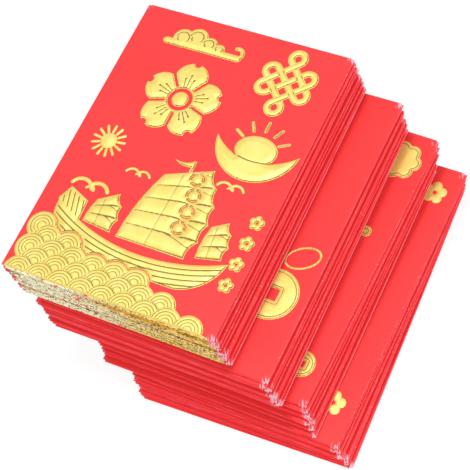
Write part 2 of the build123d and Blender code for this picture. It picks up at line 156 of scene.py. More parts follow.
def stray(node):
    """How far an envelope lies aside, behind and turned; the first and every second one are set back."""
    body, level = node.split("_envelope_")
    lowest = max(int(n.split("_")[-1]) for n in frame["nodes"] if n.startswith(f"{body}_envelope_"))
    depth = (int(level) - 1) / (lowest - 1)
    aside, behind, turn = (slide * depth for slide in slides[body])
    draw = random.Random(node)
    aside += draw.uniform(-1, 1) * side_stray
    if level == "01":
        behind += first_set_back
    else:
        behind += draw.uniform(*set_back_shares) * set_backs[body] * (int(level) % 2)
    return aside, behind, turn


def top_sheet():
    """Read the top envelope's place off its folds and the hinge of its closure flap."""
    hinge = next(j for j in frame["joints"] if j["name"] == "flap_hinge")["pos_m"]
    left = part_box("top_left_fold")[0].x
    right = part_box("top_right_fold")[1].x
    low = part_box("top_bottom_fold")[0].y
    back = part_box("top_closure_flap")[0].z
    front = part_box("top_front_panel")[1].z
    end_round = fold_rounds(front - back)[2]
    middle = Vector(((left + right) / 2, (low + end_round + hinge[1]) / 2, 0))
    return Sheet(middle, 0.0, right - left, hinge[1] - low + end_round, back, front)


# Finishes
class Signal:
    """A shader socket with Python's operators; each operator adds a Math node."""

    def __init__(self, finish, socket):
        self.finish = finish
        self.socket = socket

    def math(self, operation, *others):
        values = dict(enumerate((self,) + others))
        return self.finish.node("ShaderNodeMath", {"operation": operation}, values)

    def __add__(self, other):
        return self.math("ADD", other)

    __radd__ = __add__

    def __mul__(self, other):
        return self.math("MULTIPLY", other)

    __rmul__ = __mul__

    def __sub__(self, other):
        return self.math("SUBTRACT", other)

    def __rsub__(self, other):
        return self.finish.node("ShaderNodeMath", {"operation": "SUBTRACT"}, {0: other, 1: self})

    def rise(self, low, high):
        """0 below low, 1 above high, smooth between; the other way round if low is above high."""
        values = {"Value": self, "From Min": low, "From Max": high}
        return self.finish.node("ShaderNodeMapRange", {"interpolation_type": "SMOOTHSTEP"}, values)

    def either(self, other):
        return self.math("MAXIMUM", other)


class Finish:
    """The node tree of a material or a world, and the shader that it starts with."""

    def __init__(self, owner, shader="Principled BSDF"):
        self.owner = owner
        owner.use_nodes = True
        self.tree = owner.node_tree
        self.shader = self.tree.nodes[shader]

    def node(self, kind, settings, values, output=0):
        made = self.tree.nodes.new(kind)
        for name, setting in settings.items():
            setattr(made, name, setting)
        for name, value in values.items():
            self.feed(made.inputs[name], value)
        return Signal(self, made.outputs[output])

    def feed(self, socket, value):
        if isinstance(value, Signal):
            self.tree.links.new(value.socket, socket)
        else:
            socket.default_value = value

    def set(self, **values):
        for name, value in values.items():
            self.feed(self.shader.inputs[name.replace("_", " ").title().replace("Ior", "IOR")], value)

    def blend_shaders(self, output, share, second):
        """End the tree with a mix of the shader that it starts with and a second one."""
        first = Signal(self, self.shader.outputs[0])
        both = self.node("ShaderNodeMixShader", {}, {0: share, 1: first, 2: second})
        self.feed(self.tree.nodes[output].inputs["Surface"], both)

    def mix(self, share, first, second):
        """Colour between two colours."""
        return self.node("ShaderNodeMix", {"data_type": "RGBA"}, {0: share, 6: first, 7: second}, 2)

    def attribute(self, name):
        """A number kept on the mesh's points."""
        return self.node("ShaderNodeAttribute", {"attribute_name": name}, {}, 2)

    def place(self, stretch=(1, 1, 1)):
        """Object coordinates in millimetres, stretched for a drawn-out grain."""
        where = self.node("ShaderNodeTexCoord", {}, {}, 3)
        scale = tuple(s / mm for s in stretch)
        return self.node("ShaderNodeVectorMath", {"operation": "MULTIPLY"}, {0: where, 1: scale})

    def leaning(self, lean, features):
        """Object coordinates turned to a lean and counted in features, the third of them along the lean."""
        where = self.node("ShaderNodeTexCoord", {}, {}, 3)
        turn = Vector(lean).to_track_quat("Z", "Y").to_euler()
        scale = tuple(f * mm for f in features)
        values = {"Vector": where, "Rotation": turn, "Scale": scale}
        return self.node("ShaderNodeMapping", {"vector_type": "TEXTURE"}, values)

    def noise(self, place, scale, detail=2.0, roughness=0.5):
        """Cloudy grain between about 0 and 1, with so many features in a millimetre."""
        values = {"Vector": place, "Scale": scale, "Detail": detail, "Roughness": roughness}
        return self.node("ShaderNodeTexNoise", {}, values)

    def bump(self, height, depth):
        values = {"Height": height, "Distance": depth, "Strength": 1.0}
        return self.node("ShaderNodeBump", {}, values)


def colour(red, green, blue):
    return (red, green, blue, 1.0)


def new_finish(name):
    return Finish(bpy.data.materials.new(name))


white = colour(1, 1, 1)
red_dye = colour(0.88, 0.037, 0.038)
deep_red_dye = colour(0.84, 0.030, 0.032)
# Fold reds with painted light: brighter than the faces' red and tinted apart, set to how the side and end
# folds are lit
side_fold_painted_light_red = colour(0.95, 0.046, 0.058)
end_fold_painted_light_red = colour(0.96, 0.015, 0.027)
# Painted shade in the gaps between the folds of stacked envelopes
painted_gap_shade_red = colour(0.40, 0.004, 0.008)
# Worn pink of rubbed corners and specks, also used for the painted highlight on a bundle's lowest edge
worn_and_highlight_pink = colour(0.92, 0.47, 0.55)
# Painted light: a lighter pink for the inside near the corners, which lies in shade
painted_light_pink_core = colour(0.96, 0.74, 0.77)
white_core = colour(0.76, 0.71, 0.67)
cut_core = colour(0.95, 0.66, 0.68)
gold = colour(0.76, 0.59, 0.132)
pale_gold = colour(0.81, 0.64, 0.172)
cream_gold = colour(0.99, 0.95, 0.66)
# Dull blotches in the foil, and painted shade in the gaps between folds
dull_gold_and_gap_shade = colour(0.32, 0.2, 0.03)
# Painted shade in the foil's grooves and on its walls
painted_shade_gold = colour(0.15, 0.1, 0.016)
brown_gold = colour(0.11, 0.055, 0.008)
warm_gold = colour(0.99, 0.67, 0.13)
amber_gold = colour(0.92, 0.44, 0.012)


# A pair says where a finish starts and where it is full. Insets are millimetres from a side or an end of the
# envelope, and places are millimetres across it, along it or over the table. Level shares count from its back
# to its front. Ranges are in the grain's own values. A stretch below 1 draws the grain out that way.
right_half_places = (-30.0, 30.0)
fibre_stretch = (1, 0.35, 1)
dye_fibre_range = (0.35, 0.75)
dye_fibre_share = 0.2
dye_cloud_range = (0.3, 0.7)
dye_cloud_share = 0.4
# Where the painted-light fold reds start and where they are full
fold_painted_light_insets = (0.5, 0.12)
# Painted shade on the lower part of the folds, in the gaps between stacked envelopes
painted_gap_shade_insets = (0.8, 0.5)
painted_gap_shade_level_shares = (0.56, 0.38)
painted_gap_shade_side_share = 0.5
gap_shade_share = 0.7
coat_roughness = 0.46
fibre_roughness = 0.12
rubbed_roughness = 0.3
coat_grain_depth = 0.012 * mm
coat_fibre_share = 0.6

# Wear of the red coat, and the painted highlight on a bundle's lowest right edge
scuff_lean = (0.88, 0.43, -0.22)
scuff_features = (3.2, 3.2, 0.55)
scuffed_insets = (3.0, 0.9)
scuffed_range = (0.44, 0.58)
scuffed_shares = (0.15, 1.0)
tip_insets = (1.3, 0.5)
tip_scuff_range = (0.36, 0.46)
tip_shares = (0.1, 1.0)
speck_insets = (0.42, 0.1)
speck_range = (0.62, 0.7)
speck_cloud_range = (0.4, 0.54)
speck_share = 0.8
# Faint pale threads round the folds, below their crests
pale_thread_stretch = (0.15, 0.15, 2.2)
pale_thread_insets = (0.45, 0.15)
pale_thread_range = (0.5, 0.66)
pale_thread_level_shares = (0.95, 0.7)
pale_thread_share = 0.16
# Painted highlight: a pale line along the lowest envelope's right fold
painted_highlight_insets = (0.5, 0.2)
painted_highlight_cloud_range = (0.3, 0.46)
painted_highlight_level_shares = (0.9, 0.62)
painted_highlight_share = 0.75


def red_coat(name, gilded):
    """Matt red coating outside, rubbed at corners and folds, with painted shade in the gaps between folds and
    a painted highlight on a bundle's lowest right edge; a gilded one has foil round its bottom fold.
    """
    finish = new_finish(name)
    cloud = finish.noise(finish.place(), scale=0.05, detail=3.0)
    fibre = finish.noise(finish.place(fibre_stretch), scale=3.0, detail=3.0, roughness=0.7)
    right = finish.attribute("across").rise(*right_half_places)
    corner = rubbed_corner(finish, right)
    rubbed_and_highlight = corner.either(rubbed_folds_and_highlight(finish, cloud, right))
    coat = finish.mix(rubbed_and_highlight, dyed_paper(finish, cloud, fibre), worn_and_highlight_pink)
    roughness = coat_roughness + fibre * fibre_roughness + rubbed_and_highlight * rubbed_roughness
    metal = 0.0
    if gilded:
        foiled = foiled_fold(finish) * (1.0 - corner)
        coat = finish.mix(foiled, coat, crumpled_gold(finish))
        metal = foiled * spread(right, *gilded_metal_shares)
        roughness = roughness - foiled * gilded_polish
    finish.set(base_color=coat, roughness=roughness, metallic=metal, specular_ior_level=0.3)
    finish.set(normal=finish.bump(fibre * coat_fibre_share + cloud, coat_grain_depth))
    return finish.owner


def dyed_paper(finish, cloud, fibre):
    """Uneven red on the faces, reds with painted light round the folds, and painted shade low on the folds,
    in the gaps between envelopes.
    """
    side = finish.attribute("from_side")
    end = finish.attribute("from_end")
    deep = cloud.rise(*dye_cloud_range) * dye_cloud_share + fibre.rise(*dye_fibre_range) * dye_fibre_share
    coat = finish.mix(deep, red_dye, deep_red_dye)
    # Painted light: the side and the end folds get their own reds, set to how each is lit
    coat = finish.mix(side.rise(*fold_painted_light_insets), coat, side_fold_painted_light_red)
    coat = finish.mix(end.rise(*fold_painted_light_insets), coat, end_fold_painted_light_red)
    # Painted shade: the lower part of each fold is darkened where the gap under the envelope above lies in
    # shade
    painted_gap_shade = (side.rise(*painted_gap_shade_insets) * painted_gap_shade_side_share).either(end.rise(*painted_gap_shade_insets))
    shaded = finish.attribute("up").rise(*painted_gap_shade_level_shares) * painted_gap_shade
    return finish.mix(shaded * gap_shade_share, coat, painted_gap_shade_red)


def rubbed_corner(finish, right):
    """Where leaning scuffs have rubbed the corners, and their tips most; those on the right more."""
    side = finish.attribute("from_side")
    end = finish.attribute("from_end")
    scuff = finish.noise(finish.leaning(scuff_lean, scuff_features), scale=1.0, detail=0.5)
    corner = side.either(end).rise(*scuffed_insets) * spread(right, *scuffed_shares)
    tip = side.rise(*tip_insets) * end.rise(*tip_insets) * spread(right, *tip_shares)
    return (corner * scuff.rise(*scuffed_range)).either(tip * scuff.rise(*tip_scuff_range))


def spread(right, left_share, right_share):
    """From one share at the left to another at the right."""
    return left_share + right * (right_share - left_share)


def rubbed_folds_and_highlight(finish, cloud, right):
    """Specks on the side folds, faint pale threads round all folds, and a painted highlight on the lower
    right edge of a bundle.
    """
    side = finish.attribute("from_side")
    up = finish.attribute("up")
    grain = finish.noise(finish.place(), scale=2.3, detail=2.0)
    speck = side.rise(*speck_insets) * grain.rise(*speck_range) * cloud.rise(*speck_cloud_range)
    # Faint pale threads of noise on the folds, below their crests
    thread = finish.noise(finish.place(pale_thread_stretch), scale=1.0, detail=2.0)
    folded = side.math("MINIMUM", finish.attribute("from_end")).rise(*pale_thread_insets)
    pale_thread = thread.rise(*pale_thread_range) * folded * up.rise(*pale_thread_level_shares)
    # Painted highlight: a pale line on the lower part of the lowest envelope's right fold
    under = finish.attribute("lowest") * right * side.rise(*painted_highlight_insets) * up.rise(*painted_highlight_level_shares)
    under = under * cloud.rise(*painted_highlight_cloud_range)
    return (speck * speck_share).either(under * painted_highlight_share).either(pale_thread * pale_thread_share)


# Foil round the bottom folds
gilded_metal_shares = (0.1, 0.35)
gilded_polish = 0.12
gilded_along_places = (-54.1, -54.4)
gilded_left_places = (-35.8, -35.0)
gilded_right_places = (38.6, 37.8)
ragged_length = 5.0
broad_stretch = (0.25, 1.0, 1.0)
fleck_stretch = (0.4, 1.0, 0.9)
fleck_range = (0.695, 0.655)
flecked_left_places = (-26.0, -16.0)
flecked_right_places = (4.0, -6.0)
flecked_share = 0.07
crack_stretch = (0.3, 0.75, 1.25)
crack_middle = 0.5
crack_range = (0.034, 0.018)
crack_share = 0.92
pit_range = (0.4, 0.36)
blotch_range = (0.6, 0.64)
blotch_shares = (0.35, 0.75)
# Painted shade in the gaps between the gilded folds
foil_gap_shade_insets = (0.22, 0.5)
foil_gap_shade_shares = (0.2, 0.5)
warm_places = (-24.0, 22.0)
pale_range = (0.38, 0.62)
pale_left_share = 0.85
pale_cloud_share = 0.35
amber_low_places = (55.6, 56.2)
amber_high_places = (59.3, 58.8)
amber_across_places = (-14.0, 4.0)
amber_range = (0.34, 0.42)
amber_share = 0.95


def foiled_fold(finish):
    """Where the sea's foil runs round the bottom fold, with flecks rubbed through to the red."""
    across = finish.attribute("across")
    low = finish.attribute("along").rise(*gilded_along_places)
    ragged = finish.noise(finish.place(broad_stretch), scale=0.5, detail=2.0) * ragged_length
    span = (across + ragged).rise(*gilded_left_places) * across.rise(*gilded_right_places)
    flecked = across.rise(*flecked_left_places) * across.rise(*flecked_right_places)
    fleck = finish.noise(finish.place(fleck_stretch), scale=0.6, detail=3.0, roughness=0.6)
    return low * span * (fleck + flecked * flecked_share).rise(*fleck_range)


def crumpled_gold(finish):
    """Foil cracked along the fold: cream to gold with brown lines and dull blotches, painted shade in the
    gaps between folds, and an amber streak high on the right.
    """
    thin = finish.noise(finish.place(crack_stretch), scale=1.0, detail=2.0, roughness=0.6)
    broad = finish.noise(finish.place(broad_stretch), scale=0.5, detail=2.0)
    across = finish.attribute("across")
    right = across.rise(*warm_places)
    pale = (1.0 - right) * pale_left_share + broad.rise(*pale_range) * pale_cloud_share
    tint = finish.mix(pale, warm_gold, cream_gold)
    level = finish.node("ShaderNodeSeparateXYZ", {}, {0: finish.place()}, 2)
    band = level.rise(*amber_low_places) * level.rise(*amber_high_places)
    streak = band * across.rise(*amber_across_places) * broad.rise(*amber_range)
    tint = finish.mix(streak * amber_share, tint, amber_gold)
    # Painted shade: duller gold in the gaps between the stacked envelopes' folds
    painted_gap_shade = finish.attribute("from_end").rise(*foil_gap_shade_insets) * spread(right, *foil_gap_shade_shares)
    blotch = thin.rise(*blotch_range) * spread(right, *blotch_shares)
    tint = finish.mix(blotch.either(painted_gap_shade), tint, dull_gold_and_gap_shade)
    crack = (thin - crack_middle).math("ABSOLUTE").rise(*crack_range)
    return finish.mix(crack.either(thin.rise(*pit_range) * right) * crack_share, tint, brown_gold)


# Bare paper and stamped foil
bare_fibre_stretch = (1, 0.3, 1)
bare_fibre_range = (0.35, 0.7)
bare_shade_share = 0.86
bare_roughness = 0.72
bare_grain_depth = 0.02 * mm
# Painted light on the inside near the corners
painted_light_corner_insets = (3.0, 1.5)
sheen_range = (0.35, 0.68)
# Painted shade where the foil's relief turns down
painted_shade_range = (0.24, 0.84)
painted_shade_share = 0.96
foil_metal_share = 0.35
foil_roughness = 0.34
pit_roughness = 0.12
crease_roughness = 0.15
foil_grain_depth = 0.02 * mm
foil_cloud_share = 0.8


def plain_paper(name, tint):
    """Uncoated paper with a faint fibre, with painted light near the corners: lighter and pinker where it
    shows in the shade of the corner notches.
    """
    finish = new_finish(name)
    fibre = finish.noise(finish.place(bare_fibre_stretch), scale=2.4, detail=4.0, roughness=0.7)
    shade = colour(*(bare_shade_share * c for c in tint[:3]))
    # Painted light near the corners, against the shade of the notches
    corner = finish.attribute("from_side").either(finish.attribute("from_end")).rise(*painted_light_corner_insets)
    plain = finish.mix(fibre.rise(*bare_fibre_range), tint, shade)
    finish.set(base_color=finish.mix(corner, plain, painted_light_pink_core))
    finish.set(roughness=bare_roughness + fibre * fibre_roughness)
    finish.set(normal=finish.bump(fibre, bare_grain_depth))
    return finish.owner


def stamped_foil(name):
    """Gold foil pressed into the paper: bright on the flats, with painted shade where the relief turns down
    and along its pressed lines.
    """
    finish = new_finish(name)
    crease = finish.attribute("crease")
    cloud = finish.noise(finish.place(), scale=0.16, detail=3.0)
    pit = finish.noise(finish.place(), scale=2.6, detail=3.0, roughness=0.6)
    sheen = finish.mix(cloud.rise(*sheen_range), gold, pale_gold)
    # Painted shade: darker gold where the relief turns down and in its pressed lines
    tint = finish.mix(crease.rise(*painted_shade_range) * painted_shade_share, sheen, painted_shade_gold)
    roughness = foil_roughness + pit * pit_roughness + crease * crease_roughness
    finish.set(base_color=tint, metallic=foil_metal_share, roughness=roughness)
    finish.set(normal=finish.bump(pit + cloud * foil_cloud_share, foil_grain_depth))
    return finish.owner


red_paper = red_coat("red_coated_paper", False)
gilded_paper = red_coat("red_paper_with_gilded_fold", True)
inner_paper = plain_paper("white_inside_of_paper", white_core)
cut_paper = plain_paper("cut_edge_of_paper", cut_core)
foil = stamped_foil("stamped_gold_foil")


# Folded envelopes
def choose(piece, mode, passes):
    """Select the edges or the points that pass, of the piece in edit mode."""
    bpy.ops.mesh.select_mode(type=mode)
    bpy.ops.mesh.select_all(action="DESELECT")
    shape = bmesh.from_edit_mesh(piece.data)
    for part in shape.edges if mode == "EDGE" else shape.verts:
        part.select = passes(part)
    shape.select_flush_mode()
    bmesh.update_edit_mesh(piece.data)


def choose_edges(piece, test):
    """Select the edges whose ends both pass a test of their place."""
    choose(piece, "EDGE", lambda edge: all(test(v.co) for v in edge.verts))


def choose_points(piece, test):
    """Select the points that pass a test of their place."""
    choose(piece, "VERT", lambda point: test(point.co))


def near(first, second):
    return abs(first - second) < slack


def turn_edge(centre, axis):
    """Bend the chosen edge half a turn round a fold."""
    bpy.ops.mesh.spin(steps=fold_steps, angle=math.pi, center=centre, axis=axis)


def pull_edge(move):
    bpy.ops.mesh.extrude_region_move(TRANSFORM_OT_translate={"value": move})


def fold_flap(piece, sheet, side, depth):
    """Fold the paper over an end, 1 for the top and -1 for the bottom, and cut the flap's tapered tip."""
    reach = sheet.width / 2 - corner_inset
    edge = side * sheet.end
    wide = reach + slack
    choose_edges(piece, lambda p: near(p.y, edge) and near(p.z, sheet.thickness) and abs(p.x) < wide)
    turn_edge((0, edge, sheet.end_round), (side, 0, 0))
    pull_edge((0, -side * depth, 0))
    bpy.ops.transform.resize(value=((reach - flap_taper) / reach, 1, 1))
    tip = edge - side * depth
    narrow = reach - flap_taper - slack
    choose_points(piece, lambda p: near(p.y, tip) and abs(p.x) > narrow and p.z < paper)
    bpy.ops.mesh.bevel(offset=flap_corner, segments=flap_corner_steps, affect="VERTICES")


def flat_panel(name, sheet):
    """The front of an envelope as a cut grid, at its height over the back."""
    bpy.ops.object.select_all(action="DESELECT")
    shift = (sheet.left_round - sheet.right_round) / 2
    bpy.ops.mesh.primitive_plane_add(size=1, location=(shift, 0, sheet.thickness))
    piece = bpy.context.object
    piece.name = name
    piece.scale = (sheet.width - sheet.left_round - sheet.right_round, 2 * sheet.end, 1)
    bpy.ops.object.transform_apply(location=True, rotation=True, scale=True)
    bpy.ops.object.mode_set(mode="EDIT")
    reach = sheet.width / 2 - corner_inset
    for column in range(panel_columns + 1):
        bpy.ops.mesh.select_all(action="SELECT")
        bpy.ops.mesh.bisect(plane_co=(reach * (2 * column / panel_columns - 1), 0, 0), plane_no=(1, 0, 0))
    for row in range(1, panel_rows):
        bpy.ops.mesh.select_all(action="SELECT")
        bpy.ops.mesh.bisect(plane_co=(0, sheet.end * (2 * row / panel_rows - 1), 0), plane_no=(0, 1, 0))
    return piece


def fold_sides(piece, sheet):
    """Fold the two sides back and lap them along the seam."""
    right = sheet.width / 2 - sheet.right_round
    left = sheet.left_round - sheet.width / 2
    choose_edges(piece, lambda p: near(p.x, right))
    turn_edge((right, 0, sheet.thickness - sheet.right_round), (0, -1, 0))
    pull_edge((-right - seam_lap / 2, 0, 0))
    choose_edges(piece, lambda p: near(p.x, left) and near(p.z, sheet.thickness))
    turn_edge((left, 0, sheet.thickness - sheet.left_round), (0, 1, 0))
    pull_edge((seam_lap / 2 - left, 0, 0))


def thicken(piece, coat):
    """Give the folded sheet its thickness: coated outside, white inside and pinkish cut edges."""
    bpy.ops.mesh.select_all(action="SELECT")
    bpy.ops.mesh.remove_doubles(threshold=weld)
    bpy.ops.mesh.normals_make_consistent(inside=False)
    bpy.ops.object.mode_set(mode="OBJECT")
    front = max(piece.data.polygons, key=lambda f: f.center.z)
    if front.normal.z < 0:
        piece.data.flip_normals()
    for finish in (coat, inner_paper, cut_paper):
        piece.data.materials.append(finish)
    wall = piece.modifiers.new("paper", "SOLIDIFY")
    wall.thickness = paper
    wall.offset = -1
    wall.use_even_offset = True
    wall.material_offset = 1
    wall.material_offset_rim = 2
    bpy.ops.object.modifier_apply(modifier=wall.name)
    bpy.ops.object.shade_smooth_by_angle(angle=smooth_angle)


def note_places(piece, sheet):
    """Keep on each point how far it lies, in millimetres, across, along and from the edges, and its level."""
    points = np.array([v.co for v in piece.data.vertices]) / mm
    kept = {
        "across": points[:, 0],
        "along": points[:, 1],
        "from_side": sheet.width / 2 / mm - abs(points[:, 0]),
        "from_end": sheet.height / 2 / mm - abs(points[:, 1]),
        "up": points[:, 2] * mm / sheet.thickness,
    }
    for name, values in kept.items():
        keep_values(piece, name, values)


def keep_values(piece, name, values):
    piece.data.attributes.new(name, "FLOAT", "POINT").data.foreach_set("value", values.astype(np.float32))


def closed_envelope(name, sheet, coat):
    """A stacked envelope: sides lapped, bottom and closure flaps folded under."""
    piece = flat_panel(name, sheet)
    fold_sides(piece, sheet)
    fold_flap(piece, sheet, -1, bottom_flap_depth)
    fold_flap(piece, sheet, 1, closure_flap_depth)
    thicken(piece, coat)
    note_places(piece, sheet)
    return piece


def ripple(piece, draw):
    """Let the paper stray a little from flat, as no two envelopes in a bundle lie alike."""
    phases = [draw.uniform(0, 2 * math.pi) for n in range(4)]
    lift = draw.uniform(*ripple_height_shares) * ripple_height
    for point in piece.data.vertices:
        x = point.co.x / mm
        y = point.co.y / mm
        wave = math.sin(x * level_ripple_across + phases[0]) * math.cos(y * level_ripple_along + phases[1])
        point.co.z += lift * wave
        point.co.x += ripple_side * math.sin(y * side_ripple_along + phases[2])
        point.co.y += ripple_side * math.sin(x * end_ripple_across + phases[3])


def copy_piece(piece, name):
    """Copy of a piece, with a mesh of its own."""
    copy = piece.copy()
    copy.data = piece.data.copy()
    copy.name = name
    bpy.context.scene.collection.objects.link(copy)
    return copy


def seat(piece, sheet, body, slot, *nodes):
    """Move a finished piece to its envelope's place and tie it to its body."""
    piece.data.transform(sheet.place)
    piece.data.update()
    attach(piece, body)
    if nodes:
        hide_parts(*nodes)


def stack_bundles():
    """Put a folded envelope in place of every stacked one."""
    draw = random.Random(ripple_seed)
    patterns = {}
    nodes = sorted(n for n in frame["nodes"] if "_envelope_" in n)
    bodies = [node.split("_envelope_")[0] for node in nodes]
    for number, node in enumerate(nodes):
        sheet = stacked_sheet(node)
        body, level = node.split("_envelope_")
        coat = gilded_paper if body == "bundle_1" else red_paper
        size = (round(sheet.width / mm), round(sheet.height / mm), coat.name)
        if size not in patterns:
            patterns[size] = closed_envelope("pattern", sheet, coat)
        piece = copy_piece(patterns[size], f"{body}_paper_{level}")
        ripple(piece, draw)
        if body not in bodies[number + 1:]:
            keep_values(piece, "lowest", np.ones(len(piece.data.vertices)))
        seat(piece, sheet, body, "red_paper", node)
    for pattern in patterns.values():
        bpy.data.objects.remove(pattern)


pocket_nodes = (
    "top_front_panel",
    "top_back_left_panel",
    "top_back_right_panel",
    "top_left_fold",
    "top_right_fold",
    "top_bottom_fold",
    "top_bottom_flap",
)


def make_top_pocket(sheet):
    """The top envelope without its closure flap; its pocket is open at the top."""
    piece = flat_panel("top_pocket_paper", sheet)
    fold_sides(piece, sheet)
    fold_flap(piece, sheet, -1, bottom_flap_depth)
    thicken(piece, gilded_paper)
    note_places(piece, sheet)
    seat(piece, sheet, "top_pocket", "red_paper", *pocket_nodes)


def make_top_flap(sheet):
    """The closure flap, folded under the top envelope."""
    piece = flat_panel("top_flap_paper", sheet)
    fold_flap(piece, sheet, 1, closure_flap_depth)
    shape = bmesh.from_edit_mesh(piece.data)
    front = [f for f in shape.faces if near(f.calc_center_median().z, sheet.thickness)]
    bmesh.ops.delete(shape, geom=front, context="FACES")
    bmesh.update_edit_mesh(piece.data)
    thicken(piece, red_paper)
    note_places(piece, sheet)
    piece.data.transform(sheet.place)
    hinge = sheet.place @ Vector((0, sheet.end, sheet.end_round))
    bend = Vector((0, 0, sheet.end_round - paper))
    hinge - bend
    hinge + bend
    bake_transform(piece)
    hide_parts("top_closure_flap")


# Embossed foil
envelope_width = 80.0
envelope_height = 110.0
outline_step = 0.3
grid_step = 0.25
foil_thickness = 0.08
rim_width = 0.22
wall_width = 0.42
wall_height = 0.26
crown_reach = 2.4
crown_height = 0.2
low_relief_share = 0.3
shade_side = (0.8, -0.6)
shade_lean_range = (-0.2, 0.7)
lit_rim_share = 0.9
score_depth = 0.1
score_shade_share = 0.9
light_contour_share = 0.5
hair_breadth = 0.01


def step(low, high, value):
    """Smooth rise from 0 at low to 1 at high."""
    share = np.clip((value - low) / (high - low), 0, 1)
    return share * share * (3 - 2 * share)


def groove(offset, half_width):
    """1 in the middle third of a line, 0 past its half width."""
    return 1 - step(half_width / 3, half_width, abs(offset))


def puffed(inset):
    """Height of the relief, and the painted shade in the groove at its foot, at a distance inside the foil's
    edge.
    """
    wall = step(rim_width, rim_width + wall_width, inset)
    crown = step(rim_width + wall_width, crown_reach, inset)
    # Painted shade in the groove at the wall's foot
    foot = groove(inset - rim_width - wall_width / 3, wall_width / 2)
    return wall_height * wall + crown_height * crown, foot


def scored(height, crease, line, depth=score_depth):
    """Press a line into the relief, with painted shade along it."""
    return height - depth * line, np.maximum(crease, line * score_shade_share)


def on_face(x_share, y_share):
    return x_share * envelope_width, y_share * envelope_height


def along_chord(start, end, share, rise_share=0.0):
    """Point part of the way along a chord, moved to its left by a share of its length."""
    run_x = end[0] - start[0]
    run_y = end[1] - start[1]
    return start[0] + run_x * share - run_y * rise_share, start[1] + run_y * share + run_x * rise_share


def from_line(x, y, start, end):
    """Signed distance of points to the left of a line."""
    run = math.dist(start, end)
    return ((end[0] - start[0]) * (y - start[1]) - (end[1] - start[1]) * (x - start[0])) / run


def plain_relief(x, y, inset):
    """Small shapes without lines of their own, so their contour stays light."""
    height, crease = puffed(inset)
    return height, crease * light_contour_share


wave_radius = 0.066 * envelope_width
wave_step_share = 0.1
wave_row_shares = [
    # first wave across, row along, waves in the row
    (-0.42, -0.495, 9),
    (-0.37, -0.455, 7),
    (-0.42, -0.415, 6),
    (-0.37, -0.375, 2),
    (-0.42, -0.338, 1),
]
wave_ring_insets = (1.45, 2.6, 3.75)
wave_ring_width = 0.34
wave_ring_share = 0.75
sea_fold_places = (-54.45, -54.0)


def sea_relief(x, y, inset):
    """Overlapping waves, the lowest row in front, each with rings inside it."""
    edge = np.zeros_like(x)
    for first_share, row_share, count in reversed(wave_row_shares):
        for number in range(count):
            middle = on_face(first_share + wave_step_share * number, row_share)
            inside = wave_radius - np.hypot(x - middle[0], y - middle[1])
            edge = np.where(inside > 0, inside, edge)
    height, crease = puffed(edge)
    for ring in wave_ring_insets:
        height, crease = scored(height, crease, groove(edge - ring, wave_ring_width) * wave_ring_share)
    fold = step(*sea_fold_places, y)
    return height * fold, crease * fold


sail_shares = [
    # luff foot, luff head, leech foot, leech head, panels
    ((-0.265, -0.28), (-0.25, -0.2), (-0.125, -0.29), (-0.165, -0.16), 3),
    ((-0.095, -0.295), (-0.03, -0.055), (0.225, -0.295), (0.17, 0.005), 5),
    ((0.265, -0.28), (0.27, -0.17), (0.375, -0.262), (0.335, -0.14), 3),
]
luff_bow_share = 0.05
leech_bow_share = 0.13
belly_height = 0.3
belly_fullness = 0.7
belly_luff_share = 0.4
belly_insets = (0, 1.2)
batten_depth = 0.12
batten_width = 0.36
batten_spread = 0.7
tuck_width = 0.32
tuck_drop_share = 0.42
tuck_slope_shares = (0.55, 1.0)
tuck_start_shares = (0.5, 0.62)
tuck_share = 0.8
line_insets = (0, 0.5)
sheer_shares = [(-0.41, -0.235), (0.0, -0.325), (0.41, -0.265)]
plank_width = 1.9
plank_line_width = 0.36
plank_insets = (0.2, 0.6)
board_line_width = 0.34
board_lean = 0.3
mast_place_share = 0.42
mast_width = 0.45
mast_depth = 0.08
mast_share = 0.6


def batten_ends(luff_foot, luff_head, leech_foot, leech_head, panels):
    """Points where a sail's battens meet its luff and its leech, from foot to head."""
    ends = []
    for batten in range(panels + 1):
        up = batten / panels
        swell = 4 * up * (1 - up)
        luff = along_chord(on_face(*luff_foot), on_face(*luff_head), up, luff_bow_share * swell)
        leech = along_chord(on_face(*leech_foot), on_face(*leech_head), up, -leech_bow_share * swell)
        ends.append((luff, leech))
    return ends


def circle_through(first, second, third):
    """Middle and radius of the circle through three points."""
    chords = np.array([second, third]) - np.array(first)
    reaches = np.array([math.hypot(*second), math.hypot(*third)]) ** 2 - math.hypot(*first) ** 2
    middle = np.linalg.solve(2 * chords, reaches)
    return middle, math.dist(middle, first)


def ship_relief(x, y, inset):
    """Sails that belly between their battens, and a planked hull."""
    height, crease = puffed(inset)
    sailed = np.zeros_like(x, dtype=bool)
    for shares in sail_shares:
        ends = batten_ends(*shares)
        for lower, upper in zip(ends, ends[1:]):
            inside, belly, lines = sail_panel(x, y, lower, upper)
            height = height + belly * step(*belly_insets, inset)
            height, crease = scored(height, crease, lines * step(*line_insets, inset), batten_depth)
            sailed |= inside
        foot = along_chord(*ends[0], mast_place_share)
        head = along_chord(*ends[-1], mast_place_share)
        mast = groove(from_line(x, y, foot, head), mast_width) * sailed * mast_share
        height, crease = scored(height, crease, mast * step(*line_insets, inset), mast_depth)
    planks, boards = hull_lines(x, y)
    hull = np.where(sailed, 0, np.maximum(planks, boards))
    return scored(height, crease, hull * step(*plank_insets, inset))


